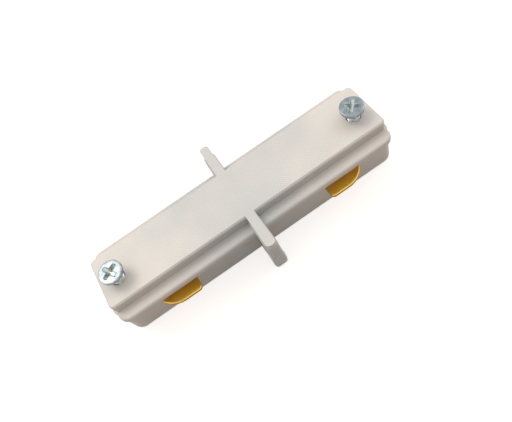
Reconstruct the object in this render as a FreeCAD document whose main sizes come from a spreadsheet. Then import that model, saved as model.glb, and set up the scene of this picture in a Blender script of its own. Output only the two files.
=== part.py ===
import FreeCAD, Part
import Sketcher
import math
import os

# Straight joiner for a two-wire lighting track, in millimetres.
# X runs along the track, Y across it, Z up; the origin is the middle of the underside.
# The face plate fills the slot of the track, the flange lies behind its lips, and the
# collar in the middle is what the two track ends butt against.

SIZES = [
    # overall moulding
    ("joiner_length", 79.0, "face plate and flange along the track"),
    ("joiner_height", 16.0, "underside to the face of the plate"),
    ("plate_width", 15.0, "face plate, fills the slot of the track"),
    ("plate_thick", 3.0, "height of the face plate above the flange"),
    ("plate_corner", 1.1, "corner of the face plate in plan"),
    ("plate_edge", 0.35, "bevel of the rim of the face plate"),
    ("plate_wall", 1.8, "side wall of the hollow face plate"),
    ("plate_skin", 2.0, "skin of the face plate over the hollow"),
    ("flange_width", 21.6, "flange that lies behind the lips of the track"),
    ("flange_thick", 1.5, "height of the flange"),
    ("flange_corner", 2.7, "corner of the flange in plan"),
    ("flange_edge", 0.7, "rounding of the rim of the flange"),
    ("flange_skin", 1.5, "wall of the flange over the hollow"),
    ("body_reach", 1.0, "lower body past each end of the face plate"),
    ("body_width", 16.8, "width of the lower body"),
    ("body_corner", 3.0, "corner of the lower body in plan"),
    ("body_edge", 1.2, "rounding along the underside"),
    ("body_wall", 1.5, "side wall of the lower body"),
    ("body_floor", 1.6, "floor of the lower body"),
    ("cavity_corner", 1.4, "inside corner of the lower body"),
    ("tray_height", 8.3, "underside to the parting of the two mouldings"),
    ("shell_gap", 0.05, "gap between the mouldings where they pass each other"),
    # collar
    ("collar_span", 35.0, "width across the collar, the width of the track"),
    ("collar_thick", 2.5, "collar at the face, along the track"),
    ("collar_layer", 2.2, "height of the collar's wide top layer"),
    ("collar_corner", 1.0, "corner of the collar's tips in plan"),
    ("web_thick", 3.1, "web of the collar below its top layer"),
    ("web_inset", 1.5, "web set in below the tip of the top layer"),
    ("web_corner", 0.8, "corner of the web in plan"),
    ("foot_thick", 3.5, "foot of the web"),
    ("foot_height", 5.4, "height of the foot"),
    ("foot_edge", 0.8, "bevel round the foot's underside"),
    # contact bars
    ("bar_thick", 0.9, "brass strip of the contact bars"),
    ("bar_rise", 2.2, "floor of the lower body to the lower edge of a bar"),
    ("bar_end", 5.75, "middle of a nose to the end of its bar"),
    ("bar_room", 1.3, "side wall to the front of a bar"),
    ("bend_radius", 0.4, "inner radius of the bend to the nose"),
    ("bend_relief", 0.3, "strip between the noses stays this far below the bend"),
    ("nose_reach", 3.8, "nose past the side of the lower body"),
    ("contact_travel", 1.6, "how far a bar can be pressed in"),
    ("nose_inset", 15.05, "end of the face plate to the middle of a nose"),
    ("nose_width", 10.2, "width of a nose along the track"),
    ("nose_run", 5.3, "stretch of a nose's front taken by the large curve"),
    ("nose_corner", 1.0, "small corner of a nose"),
    ("nose_curve", 6.25, "large curve of a nose"),
    ("nose_bevel", 0.2, "bevel along the upper rim of a nose"),
    ("slot_gap", 0.1, "gap above and below a nose in its slot"),
    ("slot_side", 0.25, "gap beside a nose in its slot"),
    # springs and their carriers
    ("spring_rise", 0.1, "lower edge of a bar to the lower edge of its springs"),
    ("spring_depth", 3.0, "height of the strip of a contact spring"),
    ("spring_thick", 0.25, "thickness of that strip"),
    ("spring_length", 10.2, "contact spring from foot to foot"),
    ("spring_bow", 3.6, "outer radius of the bow of a contact spring"),
    ("spring_knee", 1.0, "inner radius of the bend from bow to foot"),
    ("spring_gap", 0.05, "gap on each side of a contact spring"),
    ("carrier_thick", 2.0, "spring carrier across the joiner"),
    ("carrier_length", 11.8, "spring carrier along the joiner"),
    ("carrier_height", 7.0, "height of a spring carrier"),
    ("carrier_seat", 0.4, "depth of the seat of a spring in its carrier"),
    ("seat_room", 0.3, "room round a spring's feet in that seat"),
    # clamp screws
    ("screw_edge", 4.9, "end of the face plate to a clamp screw"),
    ("screw_side", 1.1, "clamp screws off the centre line, towards the front"),
    ("screw_thread", 3.5, "thread diameter of a clamp screw"),
    ("screw_lead", 0.7, "bevel at the tip of a clamp screw"),
    ("screw_lift", 4.0, "top of the head above the face plate at rest"),
    ("head_width", 6.2, "head of a clamp screw"),
    ("head_rim", 1.05, "straight rim of the head"),
    ("head_taper", 0.7, "height of the taper below the rim"),
    ("head_bevel", 0.2, "bevel of the head's upper edge"),
    ("neck_width", 3.9, "lower end of the head's taper"),
    ("screw_tip_level", 1.0, "tip of the screw above the underside at rest"),
    ("recess_span", 4.3, "cross recess from arm end to arm end"),
    ("recess_width", 1.0, "width of an arm of the recess"),
    ("recess_depth", 1.4, "depth of the recess"),
    ("recess_taper", 12.0, "degrees by which a recess narrows downwards"),
    ("screw_hole", 3.9, "clearance hole for a clamp screw"),
    ("screw_back_off", 1.5, "how far a clamp screw can be backed out"),
    ("thread_gap", 0.03, "radial gap between a thread and its nut"),
    ("nut_width", 6.0, "square nut across its flats"),
    ("nut_thick", 2.0, "height of the square nut"),
    ("nut_level", 5.25, "underside of the square nut"),
    ("nut_wall", 1.05, "wall of the nut pocket"),
    ("nut_gap", 0.05, "gap around the nut in its pocket"),
    ("boss_width", 6.8, "boss round the retainer"),
    ("boss_bore", 5.0, "bore for the retainer"),
    ("retainer_width", 4.8, "retainer on the screw"),
    ("retainer_thick", 0.8, "thickness of the retainer"),
    # housing screws
    ("fixing_inset", 9.95, "middle of a nose to an outer housing screw"),
    ("fixing_thread", 2.3, "shank of a housing screw"),
    ("fixing_length", 7.4, "shank length of a housing screw"),
    ("fixing_head", 4.2, "head of a housing screw"),
    ("fixing_head_rise", 1.5, "height of that head"),
    ("fixing_gap", 0.05, "radial gap of the shank in the upper boss"),
    ("fixing_bore_gap", 0.3, "gap of head and shank in the lower boss"),
    ("fixing_seat", 2.2, "depth of the counterbore"),
    ("fixing_web", 0.9, "floor of the counterbore"),
    ("fixing_foot", 7.0, "foot of the lower boss"),
    ("fixing_post", 5.2, "bosses of the housing screws"),
    ("fixing_meet", 7.05, "level where the two bosses meet"),
    ("pilot_spare", 0.4, "bore past the tip of a housing screw"),
    # ribs
    ("rib_thick", 1.2, "ribs that carry the contact bars"),
    ("rib_margin", 0.2, "low rib reaches this far past a pressed bar"),
    ("rib_spread", 3.0, "ribs on each side of a contact spring"),
    ("rest_gap", 0.05, "gap between a bar and the ribs it rests on"),
    ("socket_wall", 0.8, "cheeks that hold a spring carrier"),
    ("socket_height", 1.3, "height of those cheeks above the floor"),
]

# Where the driving sizes meet, as expressions of the sheet's cells.
LEDGE = "(sizes.joiner_height - sizes.plate_thick)"
FLANGE = f"({LEDGE} - sizes.flange_thick)"
PARTING = "sizes.tray_height"
BODY_LENGTH = "(sizes.joiner_length + 2 * sizes.body_reach)"
SKIN = "(sizes.joiner_height - sizes.plate_skin)"
BLADE_TOP = f"({PARTING} - sizes.slot_gap)"
BLADE = f"({BLADE_TOP} - sizes.bar_thick)"
BEND_OUTER = "(sizes.bend_radius + sizes.bar_thick)"
STRIP_TOP = f"({BLADE_TOP} - {BEND_OUTER} - sizes.bend_relief)"
BAR_BOTTOM = "(sizes.body_floor + sizes.bar_rise)"
BAR_OFFSET = "(sizes.body_width / 2 - sizes.body_wall - sizes.bar_room - sizes.bar_thick)"
NOSE_MIDDLE = "(sizes.joiner_length / 2 - sizes.nose_inset)"
NOSE_START = f"({NOSE_MIDDLE} - sizes.nose_width / 2)"
NOSE_FLAT = "(sizes.nose_width - sizes.nose_corner - sizes.nose_run)"
CONTACT_REACH = "(sizes.body_width / 2 + sizes.nose_reach)"
CLAMP_PLACE = "(sizes.joiner_length / 2 - sizes.screw_edge)"
CLAMP_SIDE = "-sizes.screw_side"
FIXING_OUTER = f"({NOSE_MIDDLE} - sizes.fixing_inset)"
FIXING_INNER = f"({FIXING_OUTER} / 3)"
RIB_CENTRE = f"(({FIXING_INNER} + {FIXING_OUTER}) / 2)"
NUT_TOP = "(sizes.nut_level + sizes.nut_thick + sizes.nut_gap)"
WEB_SPAN = "(sizes.collar_span - 2 * sizes.web_inset)"
HEAD_TOP = "(sizes.joiner_height + sizes.screw_lift)"
RETAINER_TOP = f"({SKIN} - sizes.screw_back_off - sizes.rest_gap)"
INSIDE_HALF = "(sizes.body_width / 2 - sizes.body_wall)"
SPRING_FOOT = "(sizes.carrier_thick / 2 - sizes.carrier_seat + sizes.spring_gap)"
SPRING_CROWN = f"({BAR_OFFSET} - sizes.spring_gap)"
SPRING_BOTTOM = f"({BAR_BOTTOM} + sizes.spring_rise)"
PRESSED_BAR = f"({BAR_OFFSET} - sizes.contact_travel)"

ENDS = (("left", -1), ("right", 1))
SIDES = (("front", -1), ("back", 1))
# How far the cross recess of each clamp screw is turned, in degrees.
RECESS_TURN = {"left": 30.0, "right": 44.0}
# Two lengths or levels closer than this are taken as equal.
NEAR = 1e-4

doc = FreeCAD.newDocument("track_joiner")
sheet = doc.addObject("Spreadsheet::Sheet", "sizes")
for row, (alias, number, note) in enumerate(SIZES, start=1):
    sheet.set(f"A{row}", alias)
    sheet.set(f"B{row}", str(number))
    sheet.set(f"C{row}", note)
    sheet.setAlias(f"B{row}", alias)
doc.recompute()

nodes = []


def value(expression):
    """The number an expression of the sheet has now."""
    result = sheet.evalExpression(str(expression))
    return float(getattr(result, "Value", result))


def new_body(label):
    """An empty body whose label names the finished piece."""
    body = doc.addObject("PartDesign::Body", label)
    body.Label = label
    nodes.append(body)
    return body


def sketch(body, name, plane="XY_Plane", at=("0", "0", "0")):
    """A sketch on an origin plane of its body, shifted in that plane's own axes."""
    item = body.newObject("Sketcher::SketchObject", name)
    support = [part for part in body.Origin.OriginFeatures if part.Role == plane][0]
    item.AttachmentSupport = [(support, "")]
    item.MapMode = "FlatFace"
    for axis, shift in zip("xyz", at):
        if str(shift) != "0":
            item.setExpression(f"AttachmentOffset.Base.{axis}", str(shift))
    return item


def constrain(item, expression, *terms):
    """A dimension of a sketch that follows the sheet."""
    index = item.addConstraint(Sketcher.Constraint(*terms, value(expression)))
    item.setExpression(f"Constraints[{index}]", expression)


def rectangle(body, name, width, depth, plane="XY_Plane", at=("0", "0", "0")):
    """A rectangle centred on the sketch's own origin."""
    item = sketch(body, name, plane, at)
    half_x = value(width) / 2
    half_y = value(depth) / 2
    corners = [(-half_x, -half_y), (half_x, -half_y), (half_x, half_y), (-half_x, half_y)]
    outline(item, corners)
    for side in (0, 2):
        item.addConstraint(Sketcher.Constraint("Horizontal", side))
        item.addConstraint(Sketcher.Constraint("Vertical", side + 1))
    item.addConstraint(Sketcher.Constraint("Symmetric", 0, 1, 2, 1, -1, 1))
    constrain(item, width, "DistanceX", 0, 1, 0, 2)
    constrain(item, depth, "DistanceY", 1, 1, 1, 2)
    return item


def outline(item, corners):
    """Straight edges round a closed outline, each joined to the next."""
    count = len(corners)
    first = item.GeometryCount
    for index in range(count):
        start = FreeCAD.Vector(*corners[index], 0)
        end = FreeCAD.Vector(*corners[(index + 1) % count], 0)
        item.addGeometry(Part.LineSegment(start, end), False)
    for index in range(count):
        following = first + (index + 1) % count
        item.addConstraint(Sketcher.Constraint("Coincident", first + index, 2, following, 1))


def circle(body, name, diameter, plane="XY_Plane", at=("0", "0", "0")):
    """A circle centred on the sketch's own origin."""
    item = sketch(body, name, plane, at)
    centre = FreeCAD.Vector(0, 0, 0)
    item.addGeometry(Part.Circle(centre, FreeCAD.Vector(0, 0, 1), value(diameter) / 2), False)
    item.addConstraint(Sketcher.Constraint("Coincident", 0, 3, -1, 1))
    constrain(item, diameter, "Diameter", 0)
    return item


def rectangles(body, name, spots, level_at):
    """Rectangles in one sketch, each given as (middle x, middle y, width, depth)."""
    item = sketch(body, name, at=("0", "0", level_at))
    rule = Sketcher.Constraint
    for x, y, width, depth in spots:
        first = item.GeometryCount
        left = value(f"({x}) - ({width}) / 2")
        near = value(f"({y}) - ({depth}) / 2")
        right = left + value(width)
        far = near + value(depth)
        outline(item, [(left, near), (right, near), (right, far), (left, far)])
        for side in (0, 2):
            item.addConstraint(rule("Horizontal", first + side))
            item.addConstraint(rule("Vertical", first + side + 1))
        constrain(item, f"({x}) - ({width}) / 2", "DistanceX", -1, 1, first, 1)
        constrain(item, f"({y}) - ({depth}) / 2", "DistanceY", -1, 1, first, 1)
        constrain(item, width, "DistanceX", first, 1, first, 2)
        constrain(item, depth, "DistanceY", first + 1, 1, first + 1, 2)
    return item


def circles(body, name, places, diameter, level_at, side="0"):
    """Equal circles in one sketch, in a row along X, off the centre line by a distance."""
    item = sketch(body, name, at=("0", "0", level_at))
    radius = value(diameter) / 2
    for place in places:
        centre = FreeCAD.Vector(value(place), value(side), 0)
        ring = item.addGeometry(Part.Circle(centre, FreeCAD.Vector(0, 0, 1), radius), False)
        constrain(item, side, "DistanceY", -1, 1, ring, 3)
        constrain(item, place, "DistanceX", -1, 1, ring, 3)
        constrain(item, diameter, "Diameter", ring)
    return item


def pad(body, name, profile, length, reverse=False):
    """Material along the sketch's normal."""
    feature = body.newObject("PartDesign::Pad", name)
    feature.Profile = profile
    feature.setExpression("Length", length)
    feature.Reversed = reverse
    doc.recompute()
    return feature


def pocket(body, name, profile, length, upward=True):
    """A cut from the sketch, along its normal or against it; it has to remove something."""
    before = body.Shape.Volume
    feature = body.newObject("PartDesign::Pocket", name)
    feature.Profile = profile
    feature.setExpression("Length", length)
    feature.Reversed = upward
    doc.recompute()
    if body.Shape.Volume > before - NEAR:
        raise RuntimeError(f"{body.Label}: {name} cuts nothing")
    return feature


def chosen_edges(shape, test):
    """Names of the edges whose box passes a test."""
    return [f"Edge{number}" for number, edge in enumerate(shape.Edges, start=1)
            if test(edge, edge.BoundBox)]


def round_edges(body, name, radius, test, kind="Fillet"):
    """Rounds or bevels the edges of the last feature that pass a test."""
    base = body.Tip
    names = chosen_edges(base.Shape, test)
    if not names:
        raise RuntimeError(f"{body.Label}: {name} finds no edge")
    feature = body.newObject(f"PartDesign::{kind}", name)
    feature.Base = (base, names)
    feature.setExpression("Radius" if kind == "Fillet" else "Size", radius)
    doc.recompute()
    return feature


def upright(box):
    """True where an edge stands along Z."""
    return box.XLength < NEAR and box.YLength < NEAR and box.ZLength > NEAR


def level(box, height):
    """True where an edge lies flat at a height."""
    return abs(box.ZMin - height) < NEAR and abs(box.ZMax - height) < NEAR


def rounded_rectangle(body, name, width, depth, corner, bottom):
    """A rectangle with rounded corners, centred on the Z axis, at a height."""
    item = sketch(body, name, at=("0", "0", bottom))
    half_x = value(width) / 2
    half_y = value(depth) / 2
    radius = value(corner)
    run_x = half_x - radius
    run_y = half_y - radius
    lines = [((-run_x, -half_y), (run_x, -half_y)), ((half_x, -run_y), (half_x, run_y)),
             ((run_x, half_y), (-run_x, half_y)), ((-half_x, run_y), (-half_x, -run_y))]
    for start, end in lines:
        item.addGeometry(Part.LineSegment(FreeCAD.Vector(*start, 0),
                                          FreeCAD.Vector(*end, 0)), False)
    centres = [(run_x, -run_y), (run_x, run_y), (-run_x, run_y), (-run_x, -run_y)]
    for quarter, centre in enumerate(centres, start=-1):
        ring = Part.Circle(FreeCAD.Vector(*centre, 0), FreeCAD.Vector(0, 0, 1), radius)
        item.addGeometry(Part.ArcOfCircle(ring, quarter * math.pi / 2,
                                          (quarter + 1) * math.pi / 2), False)
    for side in range(4):
        arc = side + 4
        item.addConstraint(Sketcher.Constraint("Tangent", side, 2, arc, 1))
        item.addConstraint(Sketcher.Constraint("Tangent", arc, 2, (side + 1) % 4, 1))
        item.addConstraint(Sketcher.Constraint("Vertical" if side % 2 else "Horizontal", side))
    for arc in (5, 6, 7):
        item.addConstraint(Sketcher.Constraint("Equal", 4, arc))
    constrain(item, corner, "Radius", 4)
    constrain(item, f"({width}) / 2", "DistanceX", -1, 1, 1, 1)
    constrain(item, f"({width}) / 2", "DistanceX", 3, 1, -1, 1)
    constrain(item, f"({depth}) / 2", "DistanceY", -1, 1, 2, 1)
    constrain(item, f"({depth}) / 2", "DistanceY", 0, 1, -1, 1)
    return item


def block(body, name, width, depth, bottom, height, corner):
    """A block with rounded upright corners, centred on the Z axis."""
    profile = rounded_rectangle(body, f"{name}_plan", width, depth, corner, bottom)
    pad(body, name, profile, height)


# Upper moulding: face plate, flange, skirt and the collar in one piece.
def make_upper_housing():
    body = new_body("upper_housing")
    block(body, "flange", "sizes.joiner_length", "sizes.flange_width", FLANGE,
          "sizes.flange_thick", "sizes.flange_corner")
    ledge = value(LEDGE)
    round_edges(body, "flange_rim", "sizes.flange_edge", lambda edge, box: level(box, ledge))

    block(body, "skirt", BODY_LENGTH, "sizes.body_width", PARTING,
          f"{FLANGE} - {PARTING}", "sizes.body_corner")
    block(body, "face_plate", "sizes.joiner_length", "sizes.plate_width", FLANGE,
          f"sizes.joiner_height - {FLANGE}", "sizes.plate_corner")
    top = value("sizes.joiner_height")
    round_edges(body, "face_rim", "sizes.plate_edge", lambda edge, box: level(box, top),
                kind="Chamfer")

    make_collar(body)

    # the space between the legs of the collar, for the lower moulding
    fork = rectangle(body, "fork_plan", BODY_LENGTH,
                     "sizes.body_width + 2 * sizes.shell_gap", at=("0", "0", PARTING))
    pocket(body, "fork", fork, PARTING, upward=False)

    # hollow below the flange, then the narrower hollow of the face plate
    hollow = rectangle(body, "hollow_plan", f"{BODY_LENGTH} - 2 * sizes.body_wall",
                       "sizes.body_width - 2 * sizes.body_wall", at=("0", "0", PARTING))
    pocket(body, "hollow", hollow, f"{LEDGE} - sizes.flange_skin - {PARTING}")
    roof = rectangle(body, "roof_plan", "sizes.joiner_length - 2 * sizes.plate_wall",
                     "sizes.plate_width - 2 * sizes.plate_wall", at=("0", "0", PARTING))
    pocket(body, "roof_hollow", roof, f"{SKIN} - {PARTING}")

    clamps = clamp_places()
    boss = circles(body, "clamp_boss_plan", clamps, "sizes.boss_width", NUT_TOP, CLAMP_SIDE)
    pad(body, "clamp_bosses", boss, f"{SKIN} - {NUT_TOP}")
    bore = circles(body, "retainer_bore_plan", clamps, "sizes.boss_bore", NUT_TOP, CLAMP_SIDE)
    pocket(body, "retainer_bores", bore, f"{SKIN} - {NUT_TOP}")
    hole = circles(body, "screw_hole_plan", clamps, "sizes.screw_hole", NUT_TOP, CLAMP_SIDE)
    pocket(body, "screw_holes", hole, f"sizes.joiner_height - {NUT_TOP}")

    start = "(sizes.fixing_meet + sizes.shell_gap)"
    post = circles(body, "post_plan", fixing_places(), "sizes.fixing_post", start)
    pad(body, "posts", post, f"{SKIN} - {start}")
    pilot = circles(body, "pilot_plan", fixing_places(),
                    "sizes.fixing_thread + 2 * sizes.fixing_gap", start)
    pocket(body, "pilots", pilot,
           f"sizes.fixing_seat + sizes.fixing_length + sizes.pilot_spare - {start}")


def make_collar(body):
    """The collar: a wide top layer, a web set in below it and a thicker foot."""
    layer = "(sizes.joiner_height - sizes.collar_layer)"
    block(body, "collar", "sizes.collar_thick", "sizes.collar_span", layer,
          "sizes.collar_layer", "sizes.collar_corner")
    block(body, "web", "sizes.web_thick", WEB_SPAN, "sizes.foot_height",
          f"{layer} - sizes.foot_height", "sizes.web_corner")
    block(body, "foot", "sizes.foot_thick", WEB_SPAN, "0", "sizes.foot_height",
          "sizes.web_corner")
    round_edges(body, "foot_rim", "sizes.foot_edge", lambda edge, box: level(box, 0.0),
                kind="Chamfer")


def clamp_places():
    """X of the two clamp screws, as expressions."""
    return [f"-{CLAMP_PLACE}", CLAMP_PLACE]


def fixing_places():
    """X of the four housing screws, as expressions."""
    return [f"-{FIXING_OUTER}", f"-{FIXING_INNER}", FIXING_INNER, FIXING_OUTER]


# Lower moulding: a tray that carries the nuts, the contact bars and the spring carriers.
def make_lower_housing():
    body = new_body("lower_housing")
    block(body, "tray", BODY_LENGTH, "sizes.body_width", "0", PARTING,
          "sizes.body_corner")
    round_edges(body, "tray_rim", "sizes.body_edge", lambda edge, box: level(box, 0.0))

    cavity = rectangle(body, "cavity_plan", f"{BODY_LENGTH} - 2 * sizes.body_wall",
                       "sizes.body_width - 2 * sizes.body_wall", at=("0", "0", PARTING))
    pocket(body, "cavity", cavity, f"{PARTING} - sizes.body_floor", upward=False)
    inner_x = value(f"{BODY_LENGTH} / 2 - sizes.body_wall")

    def inner_corner(edge, box):
        return upright(box) and abs(abs(box.Center.x) - inner_x) < NEAR

    round_edges(body, "cavity_corners", "sizes.cavity_corner", inner_corner)

    # what stands on the floor starts inside it
    root = "(sizes.body_floor / 2)"
    add_nut_pockets(body, root)
    add_fixing_bosses(body, root)
    add_bar_ribs(body, root)
    add_carrier_sockets(body, root)
    cut_nose_slots(body)


def add_nut_pockets(body, root):
    """A square pocket for each nut, with a hole below it for the screw's tip."""
    clamps = clamp_places()
    inner = "(sizes.nut_width + 2 * sizes.nut_gap)"
    outer = f"({inner} + 2 * sizes.nut_wall)"
    walls = rectangles(body, "nut_block_plan",
                       [(place, CLAMP_SIDE, outer, outer) for place in clamps], root)
    pad(body, "nut_blocks", walls, f"{NUT_TOP} - {root}")
    seats = rectangles(body, "nut_pocket_plan",
                       [(place, CLAMP_SIDE, inner, inner) for place in clamps], NUT_TOP)
    pocket(body, "nut_pockets", seats, f"{NUT_TOP} - sizes.nut_level", upward=False)
    tips = circles(body, "tip_hole_plan", clamps, "sizes.screw_hole", "sizes.nut_level",
                   CLAMP_SIDE)
    pocket(body, "tip_holes", tips, "sizes.nut_level", upward=False)


def add_fixing_bosses(body, root):
    """A boss with a counterbore in the underside for each housing screw."""
    places = fixing_places()
    foot = circles(body, "boss_foot_plan", places, "sizes.fixing_foot", root)
    pad(body, "boss_feet", foot, f"sizes.fixing_seat + sizes.fixing_web - {root}")
    post = circles(body, "boss_post_plan", places, "sizes.fixing_post", root)
    pad(body, "boss_posts", post, f"sizes.fixing_meet - {root}")
    seat = circles(body, "seat_plan", places,
                   "sizes.fixing_head + 2 * sizes.fixing_bore_gap", "sizes.fixing_seat")
    pocket(body, "seats", seat, "sizes.fixing_seat", upward=False)
    shank = circles(body, "shank_plan", places,
                    "sizes.fixing_thread + sizes.fixing_bore_gap", "sizes.fixing_meet")
    pocket(body, "shank_holes", shank, "sizes.fixing_meet", upward=False)


def add_bar_ribs(body, root):
    """Stepped ribs: the low step carries a bar's edge, the high step stops its back."""
    places = [f"-{NOSE_MIDDLE} - sizes.rib_spread", f"-{NOSE_MIDDLE} + sizes.rib_spread",
              f"-{RIB_CENTRE}", RIB_CENTRE,
              f"{NOSE_MIDDLE} - sizes.rib_spread", f"{NOSE_MIDDLE} + sizes.rib_spread"]
    outer = f"({INSIDE_HALF} + sizes.body_wall / 2)"
    inner = f"({PRESSED_BAR} - sizes.rib_margin)"
    stop = f"({BAR_OFFSET} + sizes.bar_thick + sizes.rest_gap)"
    low = []
    high = []
    for side, sign in SIDES:
        for place in places:
            low.append((place, f"{sign} * ({outer} + {inner}) / 2", "sizes.rib_thick",
                        f"({outer} - {inner})"))
            high.append((place, f"{sign} * ({outer} + {stop}) / 2", "sizes.rib_thick",
                         f"({outer} - {stop})"))
    low_top = f"({BAR_BOTTOM} - sizes.rest_gap)"
    high_top = f"({BLADE} - sizes.bend_radius - sizes.rest_gap)"
    pad(body, "low_ribs", rectangles(body, "low_rib_plan", low, root), f"{low_top} - {root}")
    pad(body, "high_ribs", rectangles(body, "high_rib_plan", high, root),
        f"{high_top} - {root}")


def add_carrier_sockets(body, root):
    """Two cheeks on the floor hold each spring carrier upright."""
    inner = "(sizes.carrier_thick / 2 + sizes.rest_gap)"
    spots = [(f"{end_sign} * {NOSE_MIDDLE}", f"{sign} * ({inner} + sizes.socket_wall / 2)",
              "sizes.carrier_length", "sizes.socket_wall")
             for end, end_sign in ENDS for side, sign in SIDES]
    pad(body, "cheeks", rectangles(body, "cheek_plan", spots, root),
        f"sizes.body_floor + sizes.socket_height - {root}")


def cut_nose_slots(body):
    """Notches in the rim of the tray that the contact noses come out of."""
    spots = [(f"{end_sign} * {NOSE_MIDDLE}",
              f"{sign} * (sizes.body_width - sizes.body_wall) / 2",
              "(sizes.nose_width + 2 * sizes.slot_side)",
              "(sizes.body_wall + 2 * sizes.slot_side)")
             for end, end_sign in ENDS for side, sign in SIDES]
    slots = rectangles(body, "slot_plan", spots, f"{BLADE} - sizes.slot_gap")
    pocket(body, "slots", slots, f"{PARTING} - {BLADE} + sizes.slot_gap")


# Contact bar: a brass strip on edge with two noses bent out flat.
def make_contact_bar(side, turn):
    body = new_body(f"contact_bar_{side}")
    strip = rectangle(body, "strip_plan", f"2 * ({NOSE_MIDDLE} + sizes.bar_end)",
                      "sizes.bar_thick",
                      at=("0", f"-{BAR_OFFSET} - sizes.bar_thick / 2", BAR_BOTTOM))
    pad(body, "strip", strip, f"{STRIP_TOP} - {BAR_BOTTOM}")

    for end, sign in ENDS:
        add_nose(body, end, sign)
    top = value(BLADE_TOP)
    edge_line = value(f"{BAR_OFFSET} + {BEND_OUTER}") + NEAR

    def upper_rim(edge, box):
        return level(box, top) and -box.YMin > edge_line

    round_edges(body, "nose_bevel", "sizes.nose_bevel", upper_rim, kind="Chamfer")
    body.Placement = FreeCAD.Placement(FreeCAD.Vector(0, 0, 0),
                                       FreeCAD.Rotation(FreeCAD.Vector(0, 0, 1), turn))


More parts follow.
